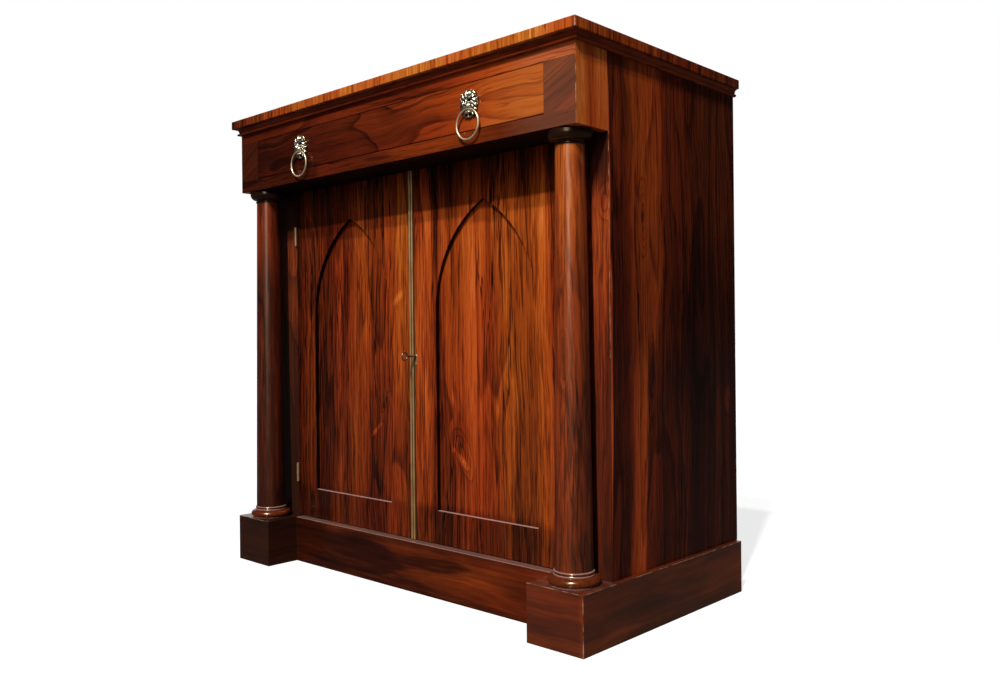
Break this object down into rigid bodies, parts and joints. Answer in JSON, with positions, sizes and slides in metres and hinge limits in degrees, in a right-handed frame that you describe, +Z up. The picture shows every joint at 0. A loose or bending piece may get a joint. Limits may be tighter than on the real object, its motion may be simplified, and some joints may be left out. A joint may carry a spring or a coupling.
{
  "type": "chiffonier",
  "caption": "Rosewood chiffonier with a frieze drawer over a pair of pointed-arch panelled doors, set back between turned columns, on a recessed plinth.",
  "frame": {"origin": "on the floor, at the centre of the bounding box's underside", "axes": "+X to the right seen from the front, -Y out of the front, +Z up; the left and right halves mirror each other in X apart from the strip, lock and key"},
  "size_m": [0.9, 0.464, 0.9],
  "materials": {
    "veneer": "rosewood veneer, French polished",
    "solid_wood": "dark stained rosewood, polished",
    "banded_top": "cross-banded veneer, polished",
    "lining_wood": "plain pine, unpolished",
    "mask_brass": "cast, worn and tarnished",
    "fitting_brass": "drawn, dull",
    "lock_iron": "bright iron, dulled"
  },
  "bodies": {
    "carcass": {"back_board": "lining_wood", "column_base_left": "solid_wood", "column_base_right": "solid_wood", "column_capital_left": "solid_wood", "column_capital_right": "solid_wood", "column_shaft_left": "veneer", "column_shaft_right": "veneer", "cupboard_floor": "lining_wood", "divider_board": "veneer", "drawer_guide_left": "lining_wood", "drawer_guide_right": "lining_wood", "frieze_end_left": "veneer", "frieze_end_right": "veneer", "frieze_top_rail": "veneer", "front_stile_left": "veneer", "front_stile_right": "veneer", "hinge_leaf_frame_left_lower": "fitting_brass", "hinge_leaf_frame_left_upper": "fitting_brass", "hinge_leaf_frame_right_lower": "fitting_brass", "hinge_leaf_frame_right_upper": "fitting_brass", "plinth_back": "solid_wood", "plinth_block_left": "solid_wood", "plinth_block_right": "solid_wood", "plinth_front": "solid_wood", "plinth_side_left": "solid_wood", "plinth_side_right": "solid_wood", "shelf": "lining_wood", "side_left": "veneer", "side_right": "veneer", "top_board": "banded_top", "top_moulding_front": "solid_wood", "top_moulding_left": "solid_wood", "top_moulding_right": "solid_wood"},
    "drawer": {"drawer_back": "lining_wood", "drawer_bottom": "lining_wood", "drawer_front": "veneer", "drawer_side_left": "lining_wood", "drawer_side_right": "lining_wood", "lion_mask_left": "mask_brass", "lion_mask_right": "mask_brass"},
    "pull_left": {"pull_ring_left": "mask_brass"},
    "pull_right": {"pull_ring_right": "mask_brass"},
    "door_left": {"door_left_arch_rail": "veneer", "door_left_bottom_rail": "veneer", "door_left_hinge_stile": "veneer", "door_left_meeting_stile": "veneer", "door_left_panel": "veneer", "hinge_leaf_door_left_lower": "fitting_brass", "hinge_leaf_door_left_upper": "fitting_brass"},
    "door_right": {"door_right_arch_rail": "veneer", "door_right_bottom_rail": "veneer", "door_right_hinge_stile": "veneer", "door_right_meeting_stile": "veneer", "door_right_panel": "veneer", "hinge_leaf_door_right_lower": "fitting_brass", "hinge_leaf_door_right_upper": "fitting_brass", "lock_case": "lock_iron", "meeting_strip": "fitting_brass"},
    "bolt": {"lock_bolt": "fitting_brass"},
    "key": {"key": "lock_iron"}
  },
  "joints": [
    {"name": "drawer_slide", "type": "slide", "parent": "carcass", "child": "drawer", "axis": [0, -1, 0], "range_m": [0, 0.3]},
    {"name": "ring_left_swing", "type": "hinge", "parent": "drawer", "child": "pull_left", "pos_m": [-0.2271, -0.2225, 0.8093], "axis": [-1, 0, 0], "range_deg": [0, 95]},
    {"name": "ring_right_swing", "type": "hinge", "parent": "drawer", "child": "pull_right", "pos_m": [0.2271, -0.2225, 0.8093], "axis": [-1, 0, 0], "range_deg": [0, 95]},
    {"name": "door_left_swing", "type": "hinge", "parent": "carcass", "child": "door_left", "pos_m": [-0.3556, -0.1429, 0.42], "axis": [0, 0, -1], "range_deg": [0, 95]},
    {"name": "door_right_swing", "type": "hinge", "parent": "carcass", "child": "door_right", "pos_m": [0.3556, -0.1429, 0.42], "axis": [0, 0, 1], "range_deg": [0, 95]},
    {"name": "key_turn", "type": "hinge", "parent": "door_right", "child": "key", "pos_m": [0.009, -0.14, 0.4195], "axis": [0, -1, 0], "range_deg": [0, 180]},
    {"name": "lock_bolt_throw", "type": "slide", "parent": "door_right", "child": "bolt", "axis": [-1, 0, 0], "range_m": [0, 0.008]}
  ],
  "couplings": [
    {"joint": "key_turn", "follows": "lock_bolt_throw", "rad_per_m": 392.6}
  ]
}
